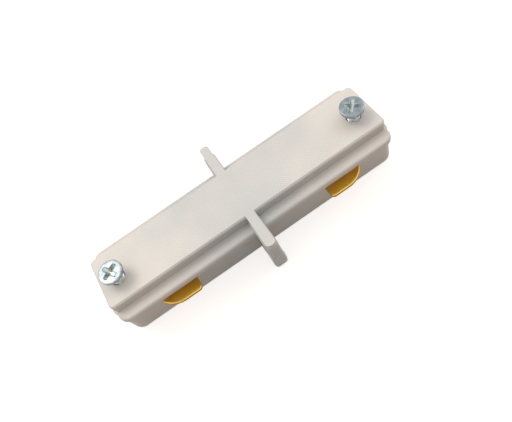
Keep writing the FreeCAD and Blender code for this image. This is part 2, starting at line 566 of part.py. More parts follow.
def add_nose(body, end, sign):
    """The bend out of the strip, in section, then the flat nose, in plan."""
    near = value(NOSE_START)
    outer_radius = value(BEND_OUTER)
    inner_radius = value("sizes.bend_radius")
    section = sketch(body, f"bend_{end}_section", "YZ_Plane",
                     at=("0", "0", f"{sign} * {NOSE_MIDDLE} - sizes.nose_width / 2"))
    back = -value(BAR_OFFSET)
    low = value(BAR_BOTTOM)
    top = value(BLADE_TOP)
    bend_y = back - outer_radius
    bend_z = top - outer_radius
    blade = value(BLADE)
    front = bend_y - value("sizes.rest_gap")
    normal = FreeCAD.Vector(0, 0, 1)
    centre = FreeCAD.Vector(bend_y, bend_z, 0)
    strip_front = back - value("sizes.bar_thick")
    line = [((back, low), (back, bend_z)), ((bend_y, top), (front, top)),
            ((front, top), (front, blade)), ((front, blade), (bend_y, blade)),
            ((strip_front, bend_z), (strip_front, low)), ((strip_front, low), (back, low))]
    outer_arc = Part.ArcOfCircle(Part.Circle(centre, normal, outer_radius), 0, math.pi / 2)
    inner_arc = Part.ArcOfCircle(Part.Circle(centre, normal, inner_radius), 0, math.pi / 2)
    for start, stop in line:
        section.addGeometry(Part.LineSegment(FreeCAD.Vector(*start, 0),
                                             FreeCAD.Vector(*stop, 0)), False)
    section.addGeometry(outer_arc, False)
    section.addGeometry(inner_arc, False)
    add = section.addConstraint
    rule = Sketcher.Constraint
    for first, first_end, second, second_end in ((6, 1, 0, 2), (6, 2, 1, 1), (7, 1, 4, 1),
                                                 (7, 2, 3, 2)):
        add(rule("Tangent", first, first_end, second, second_end))
    for first, first_end, second, second_end in ((1, 2, 2, 1), (2, 2, 3, 1), (4, 2, 5, 1),
                                                 (5, 2, 0, 1)):
        add(rule("Coincident", first, first_end, second, second_end))
    for side in (0, 2, 4):
        add(rule("Vertical", side))
    for side in (1, 3, 5):
        add(rule("Horizontal", side))
    add(rule("Coincident", 6, 3, 7, 3))
    constrain(section, BEND_OUTER, "Radius", 6)
    constrain(section, "sizes.bend_radius", "Radius", 7)
    constrain(section, f"-{BAR_OFFSET}", "DistanceX", -1, 1, 0, 1)
    constrain(section, BAR_BOTTOM, "DistanceY", -1, 1, 0, 1)
    constrain(section, BLADE_TOP, "DistanceY", -1, 1, 1, 1)
    constrain(section, "sizes.rest_gap", "DistanceX", 1, 2, 1, 1)
    pad(body, f"bend_{end}", section, "sizes.nose_width")

    plan = sketch(body, f"nose_{end}_plan", at=("0", "0", BLADE))
    corner = value("sizes.nose_corner")
    curve = value("sizes.nose_curve")
    reach = -value(CONTACT_REACH)
    root = front + value("sizes.rest_gap") / 2
    flat_start = near + corner
    flat_stop = flat_start + value(NOSE_FLAT)
    far = near + value("sizes.nose_width")
    meet = reach + curve - math.sqrt(curve ** 2 - (far - flat_stop) ** 2)
    small = FreeCAD.Vector(sign * flat_start, reach + corner, 0)
    large = FreeCAD.Vector(sign * flat_stop, reach + curve, 0)
    swing = math.asin((far - flat_stop) / curve)
    down = -math.pi / 2
    if sign > 0:
        small_arc = (math.pi, math.pi * 1.5)
        large_arc = (down, down + swing)
    else:
        small_arc = (down, 0)
        large_arc = (down - swing, down)
    runs = [((near, root), (near, reach + corner)), ((flat_start, reach), (flat_stop, reach)),
            ((far, meet), (far, root)), ((far, root), (near, root))]
    for start, stop in runs:
        plan.addGeometry(Part.LineSegment(FreeCAD.Vector(sign * start[0], start[1], 0),
                                          FreeCAD.Vector(sign * stop[0], stop[1], 0)), False)
    plan.addGeometry(Part.ArcOfCircle(Part.Circle(small, normal, corner), *small_arc), False)
    plan.addGeometry(Part.ArcOfCircle(Part.Circle(large, normal, curve), *large_arc), False)
    add = plan.addConstraint
    near_end, far_end = (1, 2) if sign > 0 else (2, 1)
    add(rule("Tangent", 4, near_end, 0, 2))
    add(rule("Tangent", 4, far_end, 1, 1))
    add(rule("Tangent", 5, near_end, 1, 2))
    add(rule("Coincident", 5, far_end, 2, 1))
    add(rule("Coincident", 2, 2, 3, 1))
    add(rule("Coincident", 3, 2, 0, 1))
    add(rule("Vertical", 0))
    add(rule("Vertical", 2))
    add(rule("Horizontal", 1))
    add(rule("Horizontal", 3))
    constrain(plan, "sizes.nose_corner", "Radius", 4)
    constrain(plan, "sizes.nose_curve", "Radius", 5)
    constrain(plan, f"{sign} * {NOSE_START}", "DistanceX", -1, 1, 0, 1)
    constrain(plan, f"{sign} * ({NOSE_START} + sizes.nose_width)", "DistanceX", -1, 1, 2, 2)
    constrain(plan, f"{sign} * {NOSE_FLAT}", "DistanceX", 1, 1, 1, 2)
    constrain(plan, f"-{CONTACT_REACH}", "DistanceY", -1, 1, 1, 1)
    constrain(plan, f"-({BAR_OFFSET} + {BEND_OUTER} + sizes.rest_gap / 2)",
              "DistanceY", -1, 1, 3, 1)
    pad(body, f"nose_{end}", plan, "sizes.bar_thick")


# Contact spring: a bowed leaf whose feet sit in the carrier and whose crown pushes the bar.
def make_contact_spring(side, side_sign, end, end_sign):
    body = new_body(f"contact_spring_{side}_{end}")
    plan = sketch(body, "bow_plan", at=("0", "0", SPRING_BOTTOM))
    thick = value("sizes.spring_thick")
    bow = value("sizes.spring_bow")
    knee = value("sizes.spring_knee")
    foot = value(SPRING_FOOT)
    reach = value("sizes.spring_length / 2")
    middle = value(f"{SPRING_CROWN} - sizes.spring_bow")
    knee_y = foot + thick + knee
    knee_x = math.sqrt((bow + knee) ** 2 - (knee_y - middle) ** 2)
    slope = math.atan2(knee_y - middle, knee_x)
    chains = (bow, knee, foot + thick), (bow - thick, knee + thick, foot)
    for radius, bend, height in chains:
        add_bow(plan, radius, bend, height, middle, knee_x, knee_y, slope, reach)
    add = plan.addConstraint
    rule = Sketcher.Constraint
    outer, inner = 0, 5
    for arc in (0, 1, 2):
        add(rule("Coincident", outer + arc, 3, inner + arc, 3))
    for index, tip in ((3, -reach), (4, reach)):
        plan.addGeometry(Part.LineSegment(FreeCAD.Vector(tip, foot + thick, 0),
                                          FreeCAD.Vector(tip, foot, 0)), False)
        line = plan.GeometryCount - 1
        add(rule("Coincident", line, 1, outer + index, 1))
        add(rule("Coincident", line, 2, inner + index, 1))
        add(rule("Vertical", line))
    add(rule("PointOnObject", outer, 3, -2))
    constrain(plan, "sizes.spring_bow", "Radius", outer)
    constrain(plan, "sizes.spring_knee", "Radius", outer + 1)
    constrain(plan, "sizes.spring_knee", "Radius", outer + 2)
    constrain(plan, f"{SPRING_CROWN} - sizes.spring_bow", "DistanceY", -1, 1, outer, 3)
    for index, sign in ((3, -1), (4, 1)):
        constrain(plan, f"{sign} * sizes.spring_length / 2", "DistanceX", -1, 1,
                  outer + index, 1)
        constrain(plan, f"{SPRING_FOOT} + sizes.spring_thick", "DistanceY", -1, 1,
                  outer + index, 1)
    constrain(plan, SPRING_FOOT, "DistanceY", -1, 1, inner + 3, 1)
    pad(body, "leaf", plan, "sizes.spring_depth")
    turn = 180 if side_sign < 0 else 0
    body.Placement = FreeCAD.Placement(FreeCAD.Vector(0, 0, 0),
                                       FreeCAD.Rotation(FreeCAD.Vector(0, 0, 1), turn))
    body.setExpression("Placement.Base.x", f"{end_sign} * {NOSE_MIDDLE}")


def add_bow(plan, radius, bend, height, middle, knee_x, knee_y, slope, reach):
    """One face of the leaf: the bow, a bend at each side, then the two feet."""
    normal = FreeCAD.Vector(0, 0, 1)
    first = plan.GeometryCount
    crown = Part.Circle(FreeCAD.Vector(0, middle, 0), normal, radius)
    left = Part.Circle(FreeCAD.Vector(-knee_x, knee_y, 0), normal, bend)
    right = Part.Circle(FreeCAD.Vector(knee_x, knee_y, 0), normal, bend)
    plan.addGeometry(Part.ArcOfCircle(crown, slope, math.pi - slope), False)
    plan.addGeometry(Part.ArcOfCircle(left, -math.pi / 2, -slope), False)
    plan.addGeometry(Part.ArcOfCircle(right, math.pi + slope, math.pi * 1.5), False)
    for start, stop in ((-reach, -knee_x), (reach, knee_x)):
        plan.addGeometry(Part.LineSegment(FreeCAD.Vector(start, height, 0),
                                          FreeCAD.Vector(stop, height, 0)), False)
    add = plan.addConstraint
    rule = Sketcher.Constraint
    add(rule("Tangent", first, 2, first + 1, 2))
    add(rule("Tangent", first, 1, first + 2, 1))
    add(rule("Tangent", first + 1, 1, first + 3, 2))
    add(rule("Tangent", first + 2, 2, first + 4, 2))
    add(rule("Horizontal", first + 3))
    add(rule("Horizontal", first + 4))


# Spring carrier: an upright plate between the two bars with a seat for a spring in each face.
def make_spring_carrier(end, sign):
    body = new_body(f"spring_carrier_{end}")
    place = f"{sign} * {NOSE_MIDDLE}"
    plate = rectangle(body, "plate_plan", "sizes.carrier_length", "sizes.carrier_thick",
                      at=(place, "0", "sizes.body_floor"))
    pad(body, "plate", plate, "sizes.carrier_height")
    depth = "(sizes.carrier_seat + sizes.spring_gap)"
    middle = f"(sizes.carrier_thick / 2 + sizes.spring_gap - {depth} / 2)"
    low = f"({SPRING_BOTTOM} - sizes.spring_gap)"
    seats = rectangles(body, "seat_plan",
                       [(place, f"{side_sign} * {middle}",
                         "(sizes.spring_length + 2 * sizes.seat_room)", depth)
                        for side, side_sign in SIDES], low)
    pocket(body, "seats", seats, "sizes.spring_depth + 2 * sizes.spring_gap")


def cut_cross(body):
    """Cross recess of a clamp screw, a plus of four arms that narrows downwards."""
    sides = ("sizes.recess_span", "sizes.recess_width")
    for number, (along, across) in enumerate((sides, sides[::-1]), start=1):
        arm = rectangle(body, f"recess_{number}_plan", along, across, at=("0", "0", HEAD_TOP))
        cut = pocket(body, f"recess_{number}", arm, "sizes.recess_depth", upward=False)
        cut.setExpression("TaperAngle", "-sizes.recess_taper")
        doc.recompute()


def turned(body, name, points):
    """A solid of revolution about Z, from the outline (radius, height) of its half section."""
    half = sketch(body, f"{name}_section", "XZ_Plane")
    outline(half, [(value(radius), value(height)) for radius, height in points])
    for index, (radius, height) in enumerate(points):
        constrain(half, radius, "DistanceX", -1, 1, index, 1)
        constrain(half, height, "DistanceY", -1, 1, index, 1)
    feature = body.newObject("PartDesign::Revolution", name)
    feature.Profile = half
    feature.ReferenceAxis = (half, ["V_Axis"])
    feature.Angle = 360.0
    doc.recompute()
    return feature


# Clamp screw: straight-rimmed head with a tapered underside, backed out to stand proud.
def make_clamp_screw(end, sign):
    body = new_body(f"clamp_screw_{end}")
    rim = f"({HEAD_TOP} - sizes.head_rim)"
    neck = f"({rim} - sizes.head_taper)"
    thread = "sizes.screw_thread / 2"
    turned(body, "blank", [
        ("0", "sizes.screw_tip_level"),
        (f"{thread} - sizes.screw_lead", "sizes.screw_tip_level"),
        (thread, "sizes.screw_tip_level + sizes.screw_lead"),
        (thread, neck),
        ("sizes.neck_width / 2", neck),
        ("sizes.head_width / 2", rim),
        ("sizes.head_width / 2", f"{HEAD_TOP} - sizes.head_bevel"),
        ("sizes.head_width / 2 - sizes.head_bevel", HEAD_TOP),
        ("0", HEAD_TOP),
    ])
    cut_cross(body)
    body.Placement = FreeCAD.Placement(
        FreeCAD.Vector(0, 0, 0), FreeCAD.Rotation(FreeCAD.Vector(0, 0, 1), RECESS_TURN[end]))
    body.setExpression("Placement.Base.x", f"{sign} * {CLAMP_PLACE}")
    body.setExpression("Placement.Base.y", CLAMP_SIDE)


# Square nut that lies in a pocket of the lower moulding.
def make_square_nut(end, sign):
    body = new_body(f"square_nut_{end}")
    place = f"{sign} * {CLAMP_PLACE}"
    plan = rectangle(body, "nut_plan", "sizes.nut_width", "sizes.nut_width",
                     at=(place, CLAMP_SIDE, "sizes.nut_level"))
    pad(body, "nut_plate", plan, "sizes.nut_thick")
    bore = circle(body, "thread_plan", "sizes.screw_thread + 2 * sizes.thread_gap",
                  at=(place, CLAMP_SIDE, "sizes.nut_level"))
    pocket(body, "thread", bore, "sizes.nut_thick")


# Retainer: a washer gripping the screw below the face, so that it can't be lost.
def make_screw_retainer(end, sign):
    body = new_body(f"screw_retainer_{end}")
    place = f"{sign} * {CLAMP_PLACE}"
    bottom = f"({RETAINER_TOP} - sizes.retainer_thick)"
    plan = circle(body, "washer_plan", "sizes.retainer_width", at=(place, CLAMP_SIDE, bottom))
    pad(body, "washer", plan, "sizes.retainer_thick")
    bore = circle(body, "grip_plan", "sizes.screw_thread + 2 * sizes.thread_gap",
                  at=(place, CLAMP_SIDE, bottom))
    pocket(body, "grip", bore, "sizes.retainer_thick")


# Housing screw: driven up from a counterbore in the underside.
def make_housing_screw(number, place):
    body = new_body(f"housing_screw_{number}")
    seat = "sizes.fixing_seat"
    head = f"({seat} - sizes.fixing_head_rise)"
    shank = "sizes.fixing_thread / 2"
    tip = f"({seat} + sizes.fixing_length)"
    turned(body, "blank", [
        ("0", head),
        ("sizes.fixing_head / 2", head),
        ("sizes.fixing_head / 2", seat),
        (shank, seat),
        (shank, tip),
        ("0", tip),
    ])
    body.setExpression("Placement.Base.x", place)


make_upper_housing()
make_lower_housing()
make_contact_bar("front", 0)
make_contact_bar("back", 180)
for end, sign in ENDS:
    for side, side_sign in SIDES:
        make_contact_spring(side, side_sign, end, sign)
    make_spring_carrier(end, sign)
    make_clamp_screw(end, sign)
    make_square_nut(end, sign)
    make_screw_retainer(end, sign)
for number, place in enumerate(fixing_places(), start=1):
    make_housing_screw(number, place)

doc.recompute()
for item in doc.Objects:
    if "Invalid" in item.State or "Error" in item.State:
        raise RuntimeError(f"{item.Label} did not compute: {item.State}")
for node in nodes:
    if node.Shape.isNull() or not node.Shape.isValid():
        raise RuntimeError(f"{node.Label} has no valid shape")

os.makedirs("parts", exist_ok=True)
for node in nodes:
    node.Shape.exportStep(f"parts/{node.Label}.step")
    box = node.Shape.BoundBox
    print(f"{node.Label}: {len(node.Shape.Solids)} solid, {node.Shape.Volume:.1f} mm3, "
          f"{box.XLength:.2f} x {box.YLength:.2f} x {box.ZLength:.2f} mm")
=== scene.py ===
# %% [markdown]
# # A lighting track connector
# This lesson dresses a finished frame: the solids of a straight joiner for slotted lighting
# track. A brass contact bar on each side slides in it and two clamp screws turn; the new screw
# meshes and the leg ribs are hung on the body they move with. The solids already have the right
# shape, so most of them keep their own mesh and only get a finish. The clamp screws get new
# meshes, because a thread and a pressed cross recess are what the eye goes to first.

# %% Load the frame
import bpy
import bmesh
import math
from mathutils import Matrix, Vector


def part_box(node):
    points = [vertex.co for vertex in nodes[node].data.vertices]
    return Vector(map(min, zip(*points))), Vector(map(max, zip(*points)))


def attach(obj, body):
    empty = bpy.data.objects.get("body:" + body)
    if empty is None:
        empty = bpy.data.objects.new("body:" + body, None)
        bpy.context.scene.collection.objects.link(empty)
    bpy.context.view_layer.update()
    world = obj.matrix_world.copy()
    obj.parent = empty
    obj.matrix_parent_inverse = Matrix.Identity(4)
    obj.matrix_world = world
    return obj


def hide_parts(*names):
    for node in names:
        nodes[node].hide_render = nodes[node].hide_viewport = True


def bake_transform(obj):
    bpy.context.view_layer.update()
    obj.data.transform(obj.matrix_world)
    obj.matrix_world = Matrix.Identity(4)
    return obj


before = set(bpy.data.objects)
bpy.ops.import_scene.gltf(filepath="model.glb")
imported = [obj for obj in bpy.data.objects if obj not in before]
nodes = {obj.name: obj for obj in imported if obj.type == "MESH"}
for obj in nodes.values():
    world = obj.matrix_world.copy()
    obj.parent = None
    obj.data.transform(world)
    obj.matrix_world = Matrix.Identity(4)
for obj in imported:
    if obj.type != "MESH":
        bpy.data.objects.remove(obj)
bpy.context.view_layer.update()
MM = 0.001


# %% [markdown]
# ## Reading sizes from the solids
# A box is two corners in metres; `span` gives its three lengths and `centre` its middle.
# The new pieces start from the boxes of the solids that they belong to.

# %% Measure the face plate
def span(node):
    low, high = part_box(node)
    return high - low


def centre(node):
    low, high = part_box(node)
    return (low + high) / 2


ENDS = ("left", "right")
SIDES = ("front", "back")
face_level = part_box("upper_housing")[1].z
print("face plate is", round(face_level / MM, 2), "mm above the table")


# %% [markdown]
# ## Shader helpers
# A node material is a graph. These two helpers keep the graphs short to read: `put` adds a
# node and sets its properties, `join` draws a link. Blender's own node names stay in view.
# `new_group` makes an empty group, and `millimetres` gives the point being shaded.

# %% Helpers for node graphs
def put(tree, kind, **settings):
    node = tree.nodes.new(kind)
    for name, setting in settings.items():
        setattr(node, name, setting)
    return node


def join(tree, source, target):
    tree.links.new(source, target)


def new_group(name, inputs, outputs):
    """An empty shader node group with named sockets, and its two end nodes."""
    tree = bpy.data.node_groups.new(name, "ShaderNodeTree")
    for label, kind, default in inputs:
        socket = tree.interface.new_socket(name=label, in_out="INPUT", socket_type=kind)
        socket.default_value = default
    for label, kind in outputs:
        tree.interface.new_socket(name=label, in_out="OUTPUT", socket_type=kind)
    start = tree.nodes.new("NodeGroupInput")
    end = tree.nodes.new("NodeGroupOutput")
    return tree, start, end


def millimetres(tree):
    """The point being shaded, in the piece's own millimetres."""
    point = put(tree, "ShaderNodeTexCoord")
    scale = put(tree, "ShaderNodeVectorMath", operation="SCALE")
    scale.inputs["Scale"].default_value = 1 / MM
    join(tree, point.outputs["Object"], scale.inputs[0])
    return scale.outputs[0]


# %% [markdown]
# ## Moulded grain
# The tool that moulds such a housing is spark eroded, which leaves a fine, even grain. It is
# too small to model, so it is a bump from noise with cells of a third to half a
# millimetre. Three plastics use it: the white housing, the spring carriers and the nylon
# retainers. That is why it is a group, with the cell size and the two colours as inputs.
# The face of the housing also has a fine hatch of low pimples: the product of two sines,
# added to the height and a little to the colour.

# %% Values of the grain
HATCH_PITCH = 0.80
HATCH_TINT = 0.34
FINE_SHARE = 0.35
SHEEN_SPREAD = 0.12
MIDDLE_REACH = 4.0
END_REACH = 32.0
FLAT_ENOUGH = 0.95
print("hatch every", HATCH_PITCH, "mm")


# %% [markdown]
# The ends of the housing are painted a little lighter and warmer, as if more light fell there, and
# the hatch lies only on level faces.
# These two helpers give those masks.

# %% Masks for the grain
def towards_ends(tree, point):
    """0 in the middle of the joiner and 1 near its ends."""
    axes = put(tree, "ShaderNodeSeparateXYZ")
    join(tree, point, axes.inputs[0])
    away = put(tree, "ShaderNodeMath", operation="ABSOLUTE")
    join(tree, axes.outputs["X"], away.inputs[0])
    ramp = put(tree, "ShaderNodeMapRange", interpolation_type="SMOOTHSTEP")
    ramp.inputs["From Min"].default_value = MIDDLE_REACH
    ramp.inputs["From Max"].default_value = END_REACH
    join(tree, away.outputs[0], ramp.inputs["Value"])
    return ramp.outputs["Result"]


def hatch_of(tree, point):
    """Low rounded pimples in a square grid, only on faces that look up."""
    axes = put(tree, "ShaderNodeSeparateXYZ")
    join(tree, point, axes.inputs[0])
    waves = []
    for axis in ("X", "Y"):
        wave = put(tree, "ShaderNodeMath", operation="MULTIPLY")
        wave.inputs[1].default_value = math.tau / HATCH_PITCH
        join(tree, axes.outputs[axis], wave.inputs[0])
        sine = put(tree, "ShaderNodeMath", operation="SINE")
        join(tree, wave.outputs[0], sine.inputs[0])
        waves.append(sine.outputs[0])
    both = put(tree, "ShaderNodeMath", operation="MULTIPLY")
    join(tree, waves[0], both.inputs[0])
    join(tree, waves[1], both.inputs[1])
    facing = put(tree, "ShaderNodeTexCoord")
    lean = put(tree, "ShaderNodeSeparateXYZ")
    join(tree, facing.outputs["Normal"], lean.inputs[0])
    flat = put(tree, "ShaderNodeMath", operation="GREATER_THAN")
    flat.inputs[1].default_value = FLAT_ENOUGH
    join(tree, lean.outputs["Z"], flat.inputs[0])
    masked = put(tree, "ShaderNodeMath", operation="MULTIPLY")
    join(tree, both.outputs[0], masked.inputs[0])
    join(tree, flat.outputs[0], masked.inputs[1])
    return masked.outputs[0]


print("masks: towards_ends, hatch_of")


# %% [markdown]
# Fine noise and a slow cloud choose between the two colours; the fine noise also feeds the
# roughness and, with the hatch, the height.

# %% Build the moulded grain group
def build_grain():
    tree, start, end = new_group(
        "moulded_grain",
        [("Light", "NodeSocketColor", (0.8, 0.8, 0.8, 1)),
         ("Deep", "NodeSocketColor", (0.7, 0.7, 0.7, 1)),
         ("Cells per mm", "NodeSocketFloat", 4.0),
         ("Cloud", "NodeSocketFloat", 0.05),
         ("Hatch", "NodeSocketFloat", 0.0),
         ("Ends painted lighter", "NodeSocketFloat", 0.0),
         ("Roughness", "NodeSocketFloat", 0.5)],
        [("Color", "NodeSocketColor"), ("Roughness", "NodeSocketFloat"),
         ("Height", "NodeSocketFloat")])
    point = millimetres(tree)
    fine = put(tree, "ShaderNodeTexNoise")
    fine.inputs["Detail"].default_value = 3.0
    fine.inputs["Roughness"].default_value = 0.6
    join(tree, point, fine.inputs["Vector"])
    join(tree, start.outputs["Cells per mm"], fine.inputs["Scale"])
    cloud = put(tree, "ShaderNodeTexNoise")
    cloud.inputs["Detail"].default_value = 2.0
    join(tree, point, cloud.inputs["Vector"])
    join(tree, start.outputs["Cloud"], cloud.inputs["Scale"])
    blend = put(tree, "ShaderNodeMath", operation="MULTIPLY_ADD")
    blend.inputs[1].default_value = FINE_SHARE
    join(tree, fine.outputs["Fac"], blend.inputs[0])
    join(tree, cloud.outputs["Fac"], blend.inputs[2])
    share = put(tree, "ShaderNodeMapRange")
    share.inputs["From Min"].default_value = 0.55
    share.inputs["From Max"].default_value = 1.05
    # Painted light: towards the ends the mix leans to the lighter, warmer colour.
    ends = put(tree, "ShaderNodeMath", operation="MULTIPLY_ADD")
    join(tree, towards_ends(tree, point), ends.inputs[0])
    join(tree, start.outputs["Ends painted lighter"], ends.inputs[1])
    join(tree, blend.outputs[0], ends.inputs[2])
    join(tree, ends.outputs[0], share.inputs["Value"])
    hatch = hatch_of(tree, point)
    dotted = put(tree, "ShaderNodeMath", operation="MULTIPLY_ADD", use_clamp=True)
    join(tree, hatch, dotted.inputs[0])
    dotted.inputs[1].default_value = HATCH_TINT
    join(tree, share.outputs["Result"], dotted.inputs[2])
    colour = put(tree, "ShaderNodeMix", data_type="RGBA")
    join(tree, dotted.outputs[0], colour.inputs["Factor"])
    join(tree, start.outputs["Deep"], colour.inputs["A"])
    join(tree, start.outputs["Light"], colour.inputs["B"])
    sheen = put(tree, "ShaderNodeMath", operation="MULTIPLY_ADD")
    sheen.inputs[1].default_value = SHEEN_SPREAD
    join(tree, fine.outputs["Fac"], sheen.inputs[0])
    join(tree, start.outputs["Roughness"], sheen.inputs[2])
    join(tree, colour.outputs["Result"], end.inputs["Color"])
    join(tree, sheen.outputs[0], end.inputs["Roughness"])
    hatched = put(tree, "ShaderNodeMath", operation="MULTIPLY_ADD")
    join(tree, hatch, hatched.inputs[0])
    join(tree, start.outputs["Hatch"], hatched.inputs[1])
    join(tree, fine.outputs["Fac"], hatched.inputs[2])
    join(tree, hatched.outputs[0], end.inputs["Height"])
    return tree


grain = build_grain()
print("group", grain.name, "with", len(grain.nodes), "nodes")


# %% [markdown]
# ## Plated and rolled metal
# Zinc plate and brass strip both vary a little from place to place: the plate is cloudy,
# and the strip carries fine rolling lines along its length. One group gives both, through
# a stretch of its noise along one axis.

# %% Build the metal group
def build_metal():
    tree, start, end = new_group(
        "worked_metal",
        [("Bright", "NodeSocketColor", (0.8, 0.8, 0.8, 1)),
         ("Dull", "NodeSocketColor", (0.6, 0.6, 0.6, 1)),
         ("Stretch", "NodeSocketVector", (1.0, 1.0, 1.0)),
         ("Roughness", "NodeSocketFloat", 0.2)],
        [("Color", "NodeSocketColor"), ("Roughness", "NodeSocketFloat"),
         ("Height", "NodeSocketFloat")])
    point = millimetres(tree)
    stretch = put(tree, "ShaderNodeVectorMath", operation="MULTIPLY")
    join(tree, point, stretch.inputs[0])
    join(tree, start.outputs["Stretch"], stretch.inputs[1])
    cloud = put(tree, "ShaderNodeTexNoise")
    cloud.inputs["Scale"].default_value = 0.9
    cloud.inputs["Detail"].default_value = 4.0
    join(tree, stretch.outputs[0], cloud.inputs["Vector"])
    fine = put(tree, "ShaderNodeTexNoise")
    fine.inputs["Scale"].default_value = 9.0
    fine.inputs["Detail"].default_value = 2.0
    join(tree, stretch.outputs[0], fine.inputs["Vector"])
    share = put(tree, "ShaderNodeMapRange")
    share.inputs["From Min"].default_value = 0.3
    share.inputs["From Max"].default_value = 0.7
    join(tree, cloud.outputs["Fac"], share.inputs["Value"])
    colour = put(tree, "ShaderNodeMix", data_type="RGBA")
    join(tree, share.outputs["Result"], colour.inputs["Factor"])
    join(tree, start.outputs["Dull"], colour.inputs["A"])
    join(tree, start.outputs["Bright"], colour.inputs["B"])
    sheen = put(tree, "ShaderNodeMath", operation="MULTIPLY_ADD")
    sheen.inputs[1].default_value = 0.15
    join(tree, fine.outputs["Fac"], sheen.inputs[0])
    join(tree, start.outputs["Roughness"], sheen.inputs[2])
    join(tree, colour.outputs["Result"], end.inputs["Color"])
    join(tree, sheen.outputs[0], end.inputs["Roughness"])
    join(tree, fine.outputs["Fac"], end.inputs["Height"])
    return tree


metal = build_metal()
print("group", metal.name, "with", len(metal.nodes), "nodes")


# %% [markdown]
# ## Darker bands
# Below the face plate the housing takes a slightly darker tone, and the brass contacts take a
# brown painted shade where the housing's overhang shades them. Both are the same thing: a tone
# laid over the colour, growing from one distance to another along an axis. So they share one
# group.

# %% Build the band group
def build_tone_band():
    tree, start, end = new_group(
        "tone_band",
        [("Color", "NodeSocketColor", (0.8, 0.8, 0.8, 1)),
         ("Tone", "NodeSocketColor", (0.5, 0.5, 0.5, 1)),
         ("Axis", "NodeSocketVector", (0.0, 0.0, 1.0)),
         ("From", "NodeSocketFloat", 0.0),
         ("To", "NodeSocketFloat", 1.0)],
        [("Color", "NodeSocketColor")])
    point = millimetres(tree)
    along = put(tree, "ShaderNodeVectorMath", operation="DOT_PRODUCT")
    join(tree, point, along.inputs[0])
    join(tree, start.outputs["Axis"], along.inputs[1])
    away = put(tree, "ShaderNodeMath", operation="ABSOLUTE")
    join(tree, along.outputs["Value"], away.inputs[0])
    growth = put(tree, "ShaderNodeMapRange")
    join(tree, away.outputs[0], growth.inputs["Value"])
    join(tree, start.outputs["From"], growth.inputs["From Min"])
    join(tree, start.outputs["To"], growth.inputs["From Max"])
    patch = put(tree, "ShaderNodeTexNoise")
    patch.inputs["Scale"].default_value = 0.5
    join(tree, point, patch.inputs["Vector"])
    uneven = put(tree, "ShaderNodeMapRange")
    uneven.inputs["To Min"].default_value = 0.8
    uneven.inputs["To Max"].default_value = 1.1
    join(tree, patch.outputs["Fac"], uneven.inputs["Value"])
    share = put(tree, "ShaderNodeMath", operation="MULTIPLY", use_clamp=True)
    join(tree, growth.outputs["Result"], share.inputs[0])
    join(tree, uneven.outputs["Result"], share.inputs[1])
    cover = put(tree, "ShaderNodeMix", data_type="RGBA", blend_type="MULTIPLY")
    join(tree, share.outputs[0], cover.inputs["Factor"])
    join(tree, start.outputs["Color"], cover.inputs["A"])
    join(tree, start.outputs["Tone"], cover.inputs["B"])
    join(tree, cover.outputs["Result"], end.inputs["Color"])
    return tree


def lay_tone_band(material, tone, axis, start, stop):
    """Puts one more darker band between the colour of a finish and its shader."""
    tree = material.node_tree
    shader = tree.nodes["Principled BSDF"]
    clean = shader.inputs["Base Color"].links[0].from_socket
    effect = put(tree, "ShaderNodeGroup", node_tree=tone_band)
    for label, setting in (("Tone", tone), ("Axis", axis), ("From", start), ("To", stop)):
        effect.inputs[label].default_value = setting
    join(tree, clean, effect.inputs["Color"])
    join(tree, effect.outputs["Color"], shader.inputs["Base Color"])


tone_band = build_tone_band()
print("group", tone_band.name, "with", len(tone_band.nodes), "nodes")


# %% [markdown]
# ## From group to material
# The Principled shader stays in the material itself. `finish` places a group in a new
# material, sets its inputs, and feeds the shader's colour and roughness; the height goes
# through a Bump node whose depth is in millimetres.

# %% Helper that makes one finish
def finish(name, group, inputs, bump_mm, metallic=0.0, settings=()):
    material = bpy.data.materials.new(name)
    material.use_nodes = True
    tree = material.node_tree
    shader = tree.nodes["Principled BSDF"]
    effect = put(tree, "ShaderNodeGroup", node_tree=group)
    for label, setting in inputs.items():
        effect.inputs[label].default_value = setting
    join(tree, effect.outputs["Color"], shader.inputs["Base Color"])
    join(tree, effect.outputs["Roughness"], shader.inputs["Roughness"])
    bump = put(tree, "ShaderNodeBump")
    bump.inputs["Strength"].default_value = 1.0
    bump.inputs["Distance"].default_value = bump_mm * MM
    join(tree, effect.outputs["Height"], bump.inputs["Height"])
    join(tree, bump.outputs["Normal"], shader.inputs["Normal"])
    shader.inputs["Metallic"].default_value = metallic
    for label, setting in settings:
        shader.inputs[label].default_value = setting
    print("finish", name)
    return material


# %% [markdown]
# ## The plastics
# The housing is a white that leans to a warm pink-grey, matt, with light that goes a little
# way in. The colour drifts slowly between a warm and a neutral white, so the noise called
# cloud has cells of some tens of millimetres. Carrier and retainer are natural, unpigmented
# plastics, a little darker and more yellow.

# %% Make the plastics
# The ends are painted lighter and warmer, as if more light fell on them.
housing_plastic = finish(
    "housing_plastic", grain,
    {"Light": (0.765, 0.715, 0.665, 1), "Deep": (0.60, 0.605, 0.595, 1),
     "Cells per mm": 3.2, "Cloud": 0.06, "Hatch": 0.45, "Ends painted lighter": 0.35,
     "Roughness": 0.42},
    bump_mm=0.02,
    settings=[("Subsurface Weight", 0.15), ("Subsurface Scale", 0.6 * MM)])

UPWARD = (0.0, 0.0, 1.0)
ACROSS = (0.0, 1.0, 0.0)
# A slightly darker tone on everything from about a millimetre below the top of the face plate
# downwards.
lay_tone_band(housing_plastic, (0.90, 0.885, 0.88, 1), UPWARD, face_level / MM - 0.8,
          face_level / MM - 1.2)
carrier_plastic = finish(
    "carrier_plastic", grain,
    {"Light": (0.70, 0.68, 0.60, 1), "Deep": (0.62, 0.60, 0.53, 1),
     "Cells per mm": 2.5, "Cloud": 0.2, "Roughness": 0.38},
    bump_mm=0.008)
retainer_nylon = finish(
    "retainer_nylon", grain,
    {"Light": (0.72, 0.70, 0.62, 1), "Deep": (0.62, 0.60, 0.52, 1),
     "Cells per mm": 2.0, "Cloud": 0.5, "Roughness": 0.30},
    bump_mm=0.005)
